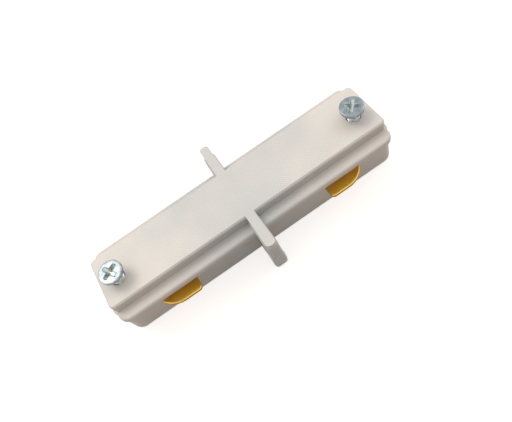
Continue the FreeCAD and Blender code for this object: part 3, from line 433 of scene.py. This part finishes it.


# %% [markdown]
# Two things on a screw follow its shape. The recess is pressed smooth, and it and the thread
# crests take a lighter tone that is partly painted highlight. Below the head, in the recess and
# in the thread roots a dark tone stands for oil and painted shade. Where each lies is a property
# of the mesh, one number for each point. The helper below mixes a tone over the finish by that
# number.

# %% Helper that mixes a tone by a number kept in the mesh
def lay_oil_and_painted_light(material, mark, tone, most):
    tree = material.node_tree
    shader = tree.nodes["Principled BSDF"]
    clean = shader.inputs["Base Color"].links[0].from_socket
    mark_value = put(tree, "ShaderNodeAttribute", attribute_name=mark)
    share = put(tree, "ShaderNodeMath", operation="MULTIPLY")
    share.inputs[1].default_value = most
    join(tree, mark_value.outputs["Fac"], share.inputs[0])
    cover = put(tree, "ShaderNodeMix", data_type="RGBA")
    cover.inputs["B"].default_value = tone
    join(tree, share.outputs[0], cover.inputs["Factor"])
    join(tree, clean, cover.inputs["A"])
    join(tree, cover.outputs["Result"], shader.inputs["Base Color"])
    print(material.name, "takes", mark)


# %% [markdown]
# ## The metals
# The clamp screws are bright zinc with a blue passivation, so their two colours differ in
# hue as well as in strength. The contacts are rolled brass, warmer in the dull places, with
# painted shade on the faces of the strip that look sideways. The nuts and the housing screws
# carry a plainer zinc, and the springs are drawn strip.

# %% Helper that paints shade on the sideways faces of a strip
def paint_edge_shade(material, tone):
    """Painted shade: faces of the strip that look sideways take a dark tone."""
    tree = material.node_tree
    shader = tree.nodes["Principled BSDF"]
    clean = shader.inputs["Base Color"].links[0].from_socket
    facing = put(tree, "ShaderNodeTexCoord")
    lean = put(tree, "ShaderNodeSeparateXYZ")
    join(tree, facing.outputs["Normal"], lean.inputs[0])
    level = put(tree, "ShaderNodeMath", operation="ABSOLUTE")
    join(tree, lean.outputs["Z"], level.inputs[0])
    share = put(tree, "ShaderNodeMapRange")
    share.inputs["From Min"].default_value = 0.70
    share.inputs["From Max"].default_value = 0.30
    join(tree, level.outputs[0], share.inputs["Value"])
    cover = put(tree, "ShaderNodeMix", data_type="RGBA", blend_type="MULTIPLY")
    cover.inputs["B"].default_value = tone
    join(tree, share.outputs["Result"], cover.inputs["Factor"])
    join(tree, clean, cover.inputs["A"])
    join(tree, cover.outputs["Result"], shader.inputs["Base Color"])
    print(material.name, "has painted edge shade")


# %% [markdown]
# Zinc takes the two marks of a screw's mesh. Brass takes a brown painted shade that starts at
# the wall of the housing and fades towards the tip of the nose, then painted shade on its sideways
# faces.

# %% Make the metals
screw_zinc = finish(
    "screw_zinc", metal,
    {"Bright": (0.385, 0.41, 0.415, 1), "Dull": (0.20, 0.265, 0.32, 1),
     "Stretch": (1.0, 1.0, 1.0), "Roughness": 0.20},
    bump_mm=0.009, metallic=1.0)
# Lighter tone in the recess and on the thread crests, partly painted highlight; dark tone of oil
# and painted shade under the head, in the recess and in the thread roots.
lay_oil_and_painted_light(screw_zinc, "pressed_and_highlight", (0.74, 0.79, 0.74, 1), 0.9)
lay_oil_and_painted_light(screw_zinc, "oil_and_shade", (0.04, 0.05, 0.045, 1), 0.8)
contact_brass = finish(
    "contact_brass", metal,
    {"Bright": (1.0, 0.70, 0.13, 1), "Dull": (0.86, 0.52, 0.06, 1),
     "Stretch": (0.25, 1.0, 1.0), "Roughness": 0.36},
    bump_mm=0.004, metallic=1.0)
WALL_SIDE = span("lower_housing").y / 2 / MM
# Painted shade: the brass is browner near the housing wall, where the housing's overhang shades
# it, and clean towards the tip of the nose.
lay_tone_band(contact_brass, (0.84, 0.62, 0.42, 1), ACROSS, WALL_SIDE + 2.4, WALL_SIDE + 0.2)
# Painted shade: the sideways faces of the strip take a dark brown tone.
paint_edge_shade(contact_brass, (0.24, 0.17, 0.10, 1))
plain_zinc = finish(
    "plain_zinc", metal,
    {"Bright": (0.72, 0.74, 0.75, 1), "Dull": (0.52, 0.54, 0.56, 1),
     "Stretch": (1.0, 1.0, 1.0), "Roughness": 0.26},
    bump_mm=0.006, metallic=1.0)
spring_strip = finish(
    "spring_strip", metal,
    {"Bright": (0.62, 0.63, 0.64, 1), "Dull": (0.45, 0.46, 0.48, 1),
     "Stretch": (0.2, 0.2, 1.0), "Roughness": 0.25},
    bump_mm=0.004, metallic=1.0)


# %% [markdown]
# ## Dressing the solids
# A solid whose shape is right keeps its mesh: only the materials in its slots change. The
# table below says which finish each family of pieces takes, by the start of its name.

# %% Assign the finishes
FINISHES = {
    "upper_housing": housing_plastic,
    "lower_housing": housing_plastic,
    "contact_bar": contact_brass,
    "contact_spring": spring_strip,
    "spring_carrier": carrier_plastic,
    "clamp_screw": screw_zinc,
    "square_nut": plain_zinc,
    "screw_retainer": retainer_nylon,
    "housing_screw": plain_zinc,
}


def dress(piece, material):
    if not piece.material_slots:
        piece.data.materials.append(material)
    for socket in piece.material_slots:
        socket.material = material


for name, piece in nodes.items():
    family = next(key for key in FINISHES if name.startswith(key))
    dress(piece, FINISHES[family])
print("dressed", len(nodes), "solids")


# %% [markdown]
# ## A clamp screw: head and recess
# The head is round, so it could be turned with a Screw modifier and cut with a Boolean.
# A cut like that leaves long thin faces round the cross, and they shade badly on polished
# metal. Here the mesh is built in rings instead: every ring has the same number of points,
# the innermost follow the outline of the cross and the outermost are circles, so the whole
# head is one sheet of four-sided faces.
#
# `cross_outline` gives the outline of a cross with rounded corners. The same call with a
# smaller span and width gives the ring below it, which is how the recess narrows.

# %% The outline of a cross recess
CORNER_STEPS = 3


def cross_outline(length, width, corner):
    """Points round a plus shape, centred, in order, with the same count for every size."""
    half = width / 2
    tip = length / 2
    points = []
    for arm in range(4):
        turn = Matrix.Rotation(arm * math.pi / 2, 2)
        shape = []
        for step in range(CORNER_STEPS + 1):
            angle = -math.pi / 2 + step / CORNER_STEPS * math.pi / 2
            shape.append((tip - corner + corner * math.cos(angle),
                          -half + corner + corner * math.sin(angle)))
        for step in range(CORNER_STEPS + 1):
            angle = step / CORNER_STEPS * math.pi / 2
            shape.append((tip - corner + corner * math.cos(angle),
                          half - corner + corner * math.sin(angle)))
        middle = (tip + half) / 2
        shape.append((middle, half))
        for step in range(CORNER_STEPS + 1):
            angle = -math.pi / 2 - step / CORNER_STEPS * math.pi / 2
            shape.append((half + corner + corner * math.cos(angle),
                          half + corner + corner * math.sin(angle)))
        shape.append((half, middle))
        points.extend(turn @ Vector(point) for point in shape)
    return points


print("a cross outline has", len(cross_outline(4.3, 1.0, 0.2)), "points")


# %% [markdown]
# The rings are stacked as (outline, height) pairs, from the bottom of the recess, up its
# walls, out over the domed face, round the rim, and down the tapered underside to the neck.
# `skin` joins each ring to the next.

# %% Helpers that stack rings into a mesh
def skin(mesh, rings, closed_start=True, closed_end=False):
    """Faces between rings of points that all have the same count."""
    stacks = [[mesh.verts.new(point) for point in ring] for ring in rings]
    count = len(stacks[0])
    for low, high in zip(stacks, stacks[1:]):
        for index in range(count):
            after = (index + 1) % count
            mesh.faces.new((low[index], low[after], high[after], high[index]))
    if closed_start:
        mesh.faces.new(list(reversed(stacks[0])))
    if closed_end:
        mesh.faces.new(stacks[-1])
    return stacks


def lift(points, height):
    return [Vector((point.x, point.y, height)) for point in points]


def towards_circle(points, radius, share):
    """The outline moved part of the way out to a circle, along each point's own ray."""
    moved = []
    for point in points:
        target = point.normalized() * radius
        moved.append(point.lerp(target, share))
    return moved


# %% [markdown]
# The head is slightly domed, which gives the broad soft highlight seen on it. Its radius and
# its top come from the solid's box; the rest are plain sizes in millimetres.

# %% The head of a clamp screw
HEAD_RISE = 0.16 * MM
HEAD_RIM = 1.05 * MM
HEAD_TAPER = 0.25 * MM
RIM_ROUND = 0.22 * MM
NECK_RADIUS = 1.66 * MM
THREAD_RADIUS = 1.74 * MM
THREAD_ROOT = 1.36 * MM
THREAD_PITCH = 0.6 * MM
RECESS_SPAN = 4.3 * MM
RECESS_WIDTH = 1.02 * MM
RECESS_DEPTH = 1.45 * MM
RECESS_LIP = 0.09 * MM


def dome(radius, head_radius, top):
    return top - HEAD_RISE * (radius / head_radius) ** 2


def head_rings(head_radius, top):
    rings = []
    levels = 7
    for step in range(levels):
        share = step / (levels - 1)
        length = RECESS_SPAN * (0.36 + 0.64 * share ** 0.8)
        width = RECESS_WIDTH * (0.48 + 0.52 * share)
        corner = (0.08 + 0.08 * share) * MM
        height = top - RECESS_DEPTH * (1 - share) - RECESS_LIP
        rings.append(lift(cross_outline(length, width, corner), height))
    lip = cross_outline(RECESS_SPAN + 2 * RECESS_LIP, RECESS_WIDTH + 2 * RECESS_LIP, 0.24 * MM)
    rings.append([Vector((p.x, p.y, dome(p.length, head_radius, top))) for p in lip])
    face_edge = head_radius - RIM_ROUND
    for share in (0.25, 0.5, 0.75, 1.0):
        ring = towards_circle(lip, face_edge, share)
        rings.append([Vector((p.x, p.y, dome(p.length, head_radius, top))) for p in ring])
    circle = [p.normalized() for p in lip]
    edge_top = dome(face_edge, head_radius, top)
    for step in range(1, 5):
        angle = step / 4 * math.pi / 2
        radius = face_edge + RIM_ROUND * math.sin(angle)
        height = edge_top - RIM_ROUND * (1 - math.cos(angle))
        rings.append(lift([p * radius for p in circle], height))
    low = top - HEAD_RIM
    underside = ((head_radius, low + 0.12 * MM),
                 (head_radius - 0.04 * MM, low + 0.03 * MM),
                 (head_radius - 0.14 * MM, low),
                 (NECK_RADIUS, low - HEAD_TAPER))
    for radius, height in underside:
        rings.append(lift([p * radius for p in circle], height))
    return rings, circle


# %% [markdown]
# ## A clamp screw: thread
# A thread is a height field on a cylinder: at angle `a` and height `z` the surface stands
# out by how far `z / pitch - a / turn` is from a whole number. Sampling that on a grid gives
# a true helix without any modifier. The pitch is what the screw moves in one turn, and the
# crest stays inside the solid's radius, so the thread clears the hole it runs through.

# %% Thread rings and the whole screw
ROWS_PER_PITCH = 8


def thread_radius(angle, height):
    phase = (height / THREAD_PITCH - angle / math.tau) % 1.0
    ridge = 1 - abs(2 * phase - 1)
    flank = min(1.0, max(0.0, (ridge - 0.12) / 0.70))
    return THREAD_ROOT + (THREAD_RADIUS - THREAD_ROOT) * flank


def thread_rings(circle, start, stop):
    rings = []
    rows = int((start - stop) / THREAD_PITCH * ROWS_PER_PITCH)
    for row in range(rows + 1):
        height = start + (stop - start) * row / rows
        ring = []
        for point in circle:
            angle = math.atan2(point.y, point.x)
            ring.append(Vector((*(point * thread_radius(angle, height)).xy, height)))
        rings.append(ring)
    return rings


def mark_screw(data, top, neck):
    """Marks the pressed recess and the thread crests for a lighter tone that is partly painted
    highlight, and oil and painted shade below the head, in the recess and in the thread roots.
    """
    pressed_and_highlight = data.attributes.new("pressed_and_highlight", "FLOAT", "POINT")
    oil_and_shade = data.attributes.new("oil_and_shade", "FLOAT", "POINT")
    for index, vertex in enumerate(data.vertices):
        place = vertex.co
        reach = place.xy.length
        if reach < RECESS_SPAN / 2 and place.z > top - HEAD_RISE - RECESS_DEPTH:
            depth = (top - HEAD_RISE - place.z) / RECESS_DEPTH
            # In the recess: a lighter tone, partly painted highlight, with a little painted shade
            # deeper down.
            pressed_and_highlight.data[index].value = min(1.0, max(0.0, 6 * depth))
            oil_and_shade.data[index].value = min(1.0, max(0.0, 0.25 * depth))
        elif place.z < neck + HEAD_TAPER:
            root = (THREAD_RADIUS - reach) / (THREAD_RADIUS - THREAD_ROOT)
            root = min(1.0, max(0.0, root)) if place.z < neck else 1.0
            # Painted highlight on the thread crests; oil and painted shade in the roots and under
            # the head.
            pressed_and_highlight.data[index].value = 1.0 - root
            oil_and_shade.data[index].value = root


def make_clamp_screw(end, turn):
    solid = f"clamp_screw_{end}"
    low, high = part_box(solid)
    middle = centre(solid)
    head_radius = span(solid).x / 2
    rings, circle = head_rings(head_radius, high.z)
    neck = high.z - HEAD_RIM - HEAD_TAPER
    rings.append(lift([p * THREAD_ROOT for p in circle], neck - 0.30 * MM))
    tip = low.z + 0.35 * MM
    rings.extend(thread_rings(circle, neck - 0.40 * MM, tip))
    rings.append(lift([p * (THREAD_ROOT - 0.3 * MM) for p in circle], low.z))
    mesh = bmesh.new()
    skin(mesh, [[Vector(p) for p in ring] for ring in rings], closed_start=True, closed_end=True)
    bmesh.ops.recalc_face_normals(mesh, faces=mesh.faces)
    data = bpy.data.meshes.new(f"clamp_screw_{end}_mesh")
    mesh.to_mesh(data)
    mesh.free()
    mark_screw(data, high.z, neck)
    data.transform(Matrix.Rotation(turn, 4, "Z"))
    data.transform(Matrix.Translation((middle.x, middle.y, 0)))
    data.shade_smooth()
    data.set_sharp_from_angle(angle=math.radians(42))
    screw = bpy.data.objects.new(f"clamp_screw_{end}_threaded", data)
    bpy.context.scene.collection.objects.link(screw)
    dress(screw, screw_zinc)
    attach(screw, f"screw_{end}")
    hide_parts(solid)
    print(screw.name, len(data.polygons), "faces")
    return screw


RECESS_TURN = {"left": math.radians(30), "right": math.radians(44)}
for end in ENDS:
    make_clamp_screw(end, RECESS_TURN[end])


# %% [markdown]
# ## The contact springs
# Each spring is a bowed leaf: its two feet sit in the carrier and its crown pushes the
# contact bar outwards. When a bar is pressed in, the leaf flattens; here each leaf keeps the shape
# of its solid and gets a finish.

# %% Make the springs
def make_spring(side, end):
    solid = f"contact_spring_{side}_{end}"
    source = nodes[solid]
    spring = bpy.data.objects.new(f"{solid}_leaf", source.data.copy())
    bpy.context.scene.collection.objects.link(spring)
    dress(spring, spring_strip)
    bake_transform(spring)
    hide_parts(solid)
    return spring


springs = [make_spring(side, end) for side in SIDES for end in ENDS]
print("springs:", [spring.name for spring in springs])


# %% [markdown]
# ## Ribs on the legs
# The tips of the collar's legs carry a ladder of fine level ribs, a grip for the fingertips.
# They stand a tenth of a millimetre out of the leg and wrap round its corners. Each rib is a
# short closed bar: the path in plan goes up one flank, round the tip and down the other, and
# a rounded profile is carried along it, shrinking to nothing at both ends.

# %% The path of a rib round the tip of a leg
FOOT_HALF = 1.75 * MM
WEB_HALF = 1.55 * MM
LEG_TIP = 16.0 * MM
LEG_CORNER = 0.8 * MM
FOOT_TOP = 5.4 * MM
RIB_FLANK = 1.3 * MM
RIB_PITCH = 1.15 * MM
RIB_HALF_HEIGHT = 0.36 * MM
RIB_RISE = 0.13 * MM
RIB_ROOT = 0.12 * MM
RIB_LEVELS = (1.75 * MM, 12.9 * MM)


def rib_path(half):
    """Points round the tip with their outward directions, in plan."""
    path = []
    for sign in (-1, 1):
        flank = [(Vector((sign * half, LEG_TIP - LEG_CORNER - RIB_FLANK * (1 - step / 4))),
                  Vector((sign, 0))) for step in range(4)]
        corner = []
        for step in range(7):
            angle = step / 6 * math.pi / 2
            away = Vector((sign * math.cos(angle), math.sin(angle)))
            hub = Vector((sign * (half - LEG_CORNER), LEG_TIP - LEG_CORNER))
            corner.append((hub + away * LEG_CORNER, away))
        side = flank + corner
        path.extend(side if sign < 0 else reversed(side))
    return path


print("a rib's path has", len(rib_path(FOOT_HALF)), "points")


# %% [markdown]
# The profile is an arch outside the leg and a flat back hidden inside it. `skin` from the
# screws joins the profiles and closes both ends.

# %% Make the ribs
def rib_profile(point, away, level, strength):
    ring = []
    for step in range(7):
        lean = -1 + step / 3
        out = RIB_RISE * strength * math.cos(lean * math.pi / 2) - 0.01 * MM
        spot = point + away * out
        ring.append((spot, level + lean * RIB_HALF_HEIGHT))
    for lean in (1, -1):
        ring.append((point - away * RIB_ROOT, level + lean * RIB_HALF_HEIGHT))
    return ring


def make_ribs(side):
    face = 1 if side == "back" else -1
    mesh = bmesh.new()
    level = RIB_LEVELS[0]
    count = 0
    while level <= RIB_LEVELS[1]:
        if abs(level - FOOT_TOP) > RIB_HALF_HEIGHT:
            path = rib_path(FOOT_HALF if level < FOOT_TOP else WEB_HALF)
            rings = []
            for index, (point, away) in enumerate(path):
                from_end = min(index, len(path) - 1 - index)
                profile = rib_profile(point, away, level, min(1.0, from_end / 4))
                rings.append([Vector((spot.x, face * spot.y, height)) for spot, height in profile])
            skin(mesh, rings, closed_start=True, closed_end=True)
            count += 1
        level += RIB_PITCH
    bmesh.ops.recalc_face_normals(mesh, faces=mesh.faces)
    data = bpy.data.meshes.new(f"collar_ribs_{side}_mesh")
    mesh.to_mesh(data)
    mesh.free()
    data.shade_smooth()
    data.set_sharp_from_angle(angle=math.radians(50))
    ribs = bpy.data.objects.new(f"collar_ribs_{side}", data)
    bpy.context.scene.collection.objects.link(ribs)
    dress(ribs, housing_plastic)
    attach(ribs, "housing")
    print(ribs.name, "has", count, "ribs")
    return ribs


for side in SIDES:
    make_ribs(side)


# %% [markdown]
# ## Table and light
# The photograph is a cut-out on white, lit softly from above. The floor is pale, and to the
# camera, to mirrors and to glass it shows almost white, while it still takes the object's
# shadow: a part of what the camera sees is the lit surface, the rest is a plain glow. The
# world does the same, and lights the object with a soft grey, brighter above and behind.

# %% Floor and world
def make_floor():
    size = 3.0
    data = bpy.data.meshes.new("floor_mesh")
    corners = [(-size, -size, 0), (size, -size, 0), (size, size, 0), (-size, size, 0)]
    data.from_pydata(corners, [], [(0, 1, 2, 3)])
    floor = bpy.data.objects.new("floor", data)
    bpy.context.scene.collection.objects.link(floor)
    material = bpy.data.materials.new("floor_white")
    material.use_nodes = True
    tree = material.node_tree
    tree.nodes.clear()
    output = put(tree, "ShaderNodeOutputMaterial")
    lit = put(tree, "ShaderNodeBsdfDiffuse")
    lit.inputs["Color"].default_value = (0.46, 0.41, 0.36, 1)
    glow = put(tree, "ShaderNodeEmission")
    glow.inputs["Strength"].default_value = 0.76
    both = put(tree, "ShaderNodeAddShader")
    seen = seen_directly(tree)
    choose = put(tree, "ShaderNodeMixShader")
    join(tree, lit.outputs[0], both.inputs[0])
    join(tree, glow.outputs[0], both.inputs[1])
    join(tree, seen, choose.inputs["Fac"])
    join(tree, lit.outputs[0], choose.inputs[1])
    join(tree, both.outputs[0], choose.inputs[2])
    join(tree, choose.outputs[0], output.inputs["Surface"])
    floor.data.materials.append(material)
    return floor


def seen_directly(tree):
    """1 for rays from the camera, off mirrors and through glass."""
    path = put(tree, "ShaderNodeLightPath")
    first = put(tree, "ShaderNodeMath", operation="MAXIMUM")
    second = put(tree, "ShaderNodeMath", operation="MAXIMUM")
    join(tree, path.outputs["Is Camera Ray"], first.inputs[0])
    join(tree, path.outputs["Is Glossy Ray"], first.inputs[1])
    join(tree, first.outputs[0], second.inputs[0])
    join(tree, path.outputs["Is Transmission Ray"], second.inputs[1])
    return second.outputs[0]


HORIZON = 0.26
ZENITH = 1.00
BACK_SHARE = 0.52


def make_world():
    world = bpy.data.worlds.new("studio")
    world.use_nodes = True
    tree = world.node_tree
    tree.nodes.clear()
    output = put(tree, "ShaderNodeOutputWorld")
    dim = put(tree, "ShaderNodeBackground")
    dim.inputs["Color"].default_value = (1.0, 0.985, 0.965, 1)
    ray = put(tree, "ShaderNodeTexCoord")
    rise = put(tree, "ShaderNodeSeparateXYZ")
    join(tree, ray.outputs["Generated"], rise.inputs[0])
    level = put(tree, "ShaderNodeMapRange")
    level.inputs["To Min"].default_value = HORIZON
    level.inputs["To Max"].default_value = ZENITH
    join(tree, rise.outputs["Z"], level.inputs["Value"])
    lean = put(tree, "ShaderNodeMath", operation="MULTIPLY_ADD")
    lean.inputs[1].default_value = BACK_SHARE
    lean.inputs[2].default_value = 1.0
    join(tree, rise.outputs["Y"], lean.inputs[0])
    strength = put(tree, "ShaderNodeMath", operation="MULTIPLY")
    join(tree, level.outputs["Result"], strength.inputs[0])
    join(tree, lean.outputs[0], strength.inputs[1])
    join(tree, strength.outputs[0], dim.inputs["Strength"])
    white = put(tree, "ShaderNodeBackground")
    white.inputs["Strength"].default_value = 1.0
    white.inputs["Color"].default_value = (1, 1, 1, 1)
    choose = put(tree, "ShaderNodeMixShader")
    join(tree, seen_directly(tree), choose.inputs["Fac"])
    join(tree, dim.outputs[0], choose.inputs[1])
    join(tree, white.outputs[0], choose.inputs[2])
    join(tree, choose.outputs[0], output.inputs["Surface"])
    bpy.context.scene.world = world
    return world


make_floor()
make_world()
print("floor and world ready")


# %% [markdown]
# ## Lamps
# A large soft box stands behind and to the left, high up, so the near side walls fall away
# into shade as they do in the photograph. A weak second one on the right fills the shadow of
# the screws and lights the end faces there.
# Area lamps are aimed by turning their -Z axis towards the target.

# %% Place the lamps
def area_lamp(name, place, target, size, power, colour=(1, 1, 1)):
    data = bpy.data.lights.new(name, "AREA")
    data.shape = "SQUARE"
    data.size = size
    data.energy = power
    data.color = colour
    lamp = bpy.data.objects.new(name, data)
    lamp.location = place
    aim = Vector(target) - Vector(place)
    lamp.rotation_euler = aim.to_track_quat("-Z", "Y").to_euler()
    bpy.context.scene.collection.objects.link(lamp)
    return lamp


MIDDLE = (0.0, 0.0, face_level / 2)
area_lamp("key", (-0.32, 0.45, 0.77), MIDDLE, 0.54, 2.5, (1.0, 0.94, 0.85))
area_lamp("fill", (0.60, 0.05, 0.40), MIDDLE, 0.50, 0.9, (1.0, 0.99, 0.98))
print("two lamps")


# %% [markdown]
# ## Camera
# The view was worked out by fitting a camera to the outline in the photograph: the object
# lies turned by about 35 degrees in a frame that looks down on it from 59 degrees. The
# focal length, the place and the two directions below are that fit. A camera looks along its
# own -Z, so its matrix has the picture's right, up and backward directions as columns.

# %% Place the camera
PICTURE_WIDTH = 512
FOCAL_PIXELS = 503.9
SENSOR = 36.0
CAMERA_PLACE = Vector((-3.55, -69.47, 117.33)) * MM
PICTURE_RIGHT = Vector((0.82292, -0.50273, -0.26469))
PICTURE_UP = Vector((0.56652, 0.69079, 0.44929))


def make_camera():
    data = bpy.data.cameras.new("camera")
    data.sensor_width = SENSOR
    data.lens = FOCAL_PIXELS * SENSOR / PICTURE_WIDTH
    data.clip_start = 0.001
    camera = bpy.data.objects.new("camera", data)
    right = PICTURE_RIGHT.normalized()
    up = (PICTURE_UP - right * PICTURE_UP.dot(right)).normalized()
    back = right.cross(up)
    turn = Matrix((right, up, back)).transposed()
    camera.matrix_world = Matrix.Translation(CAMERA_PLACE) @ turn.to_4x4()
    bpy.context.scene.collection.objects.link(camera)
    bpy.context.scene.camera = camera
    return camera


camera = make_camera()
bpy.context.scene.view_settings.view_transform = "Standard"
print("camera at", [round(v / MM, 1) for v in camera.location], "mm")


# %% [markdown]
# ## Close the scene
# The view layer is brought up to date.

# %% Finish
bpy.context.view_layer.update()
